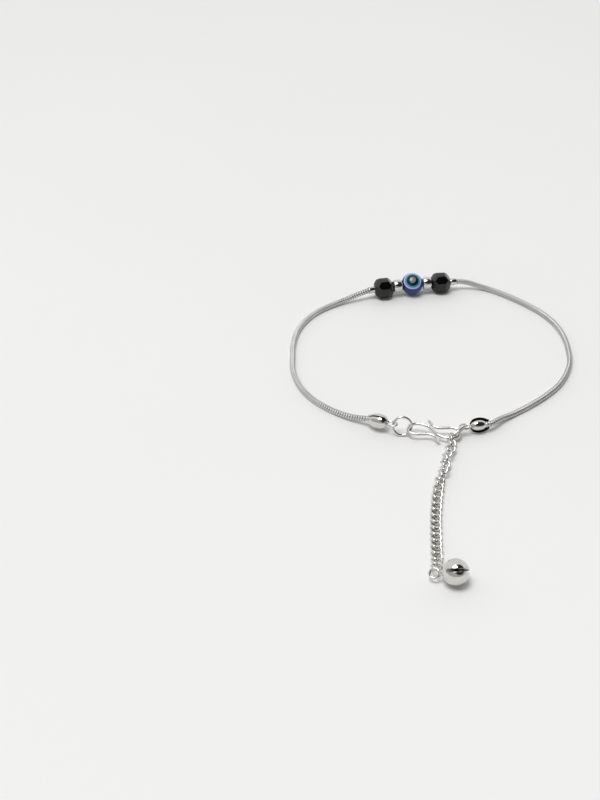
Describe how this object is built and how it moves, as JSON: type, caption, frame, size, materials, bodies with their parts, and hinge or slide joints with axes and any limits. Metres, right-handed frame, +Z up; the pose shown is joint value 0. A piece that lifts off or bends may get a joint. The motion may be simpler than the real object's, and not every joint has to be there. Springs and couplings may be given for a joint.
{
  "type": "beaded payal anklet",
  "caption": "Silver-tone snake chain anklet with an eye bead between faceted black cubes, an S-hook clasp, a curb extender chain and a small bell, lying flat.",
  "frame": {"origin": "on the surface that the anklet lies on, under the middle of its box", "axes": "+Y from the bell at the end of the extender chain towards the beads, +Z up from the surface, +X to the right as seen from the bell"},
  "size_m": [0.0776, 0.1332, 0.0064],
  "materials": {
    "polished_silver": "polished silver plate",
    "snake_chain_silver": "silver plate, finely ribbed across",
    "black_glass": "opaque black, polished facets",
    "eye_resin": "glossy resin with painted eyes"
  },
  "bodies": {
    "root": {"snake_chain": "snake_chain_silver", "eye_bead": "eye_resin", "spacer_bead_left": "polished_silver", "spacer_bead_right": "polished_silver", "cube_bead_left": "black_glass", "cube_bead_right": "black_glass", "crimp_bead_left": "polished_silver", "crimp_bead_right": "polished_silver", "end_cap_left": "polished_silver", "end_cap_right": "polished_silver", "jump_ring": "polished_silver", "s_hook": "polished_silver", "connecting_link": "polished_silver", "extender_chain": "polished_silver", "bell": "polished_silver", "bell_pellet": "polished_silver"}
  },
  "joints": []
}
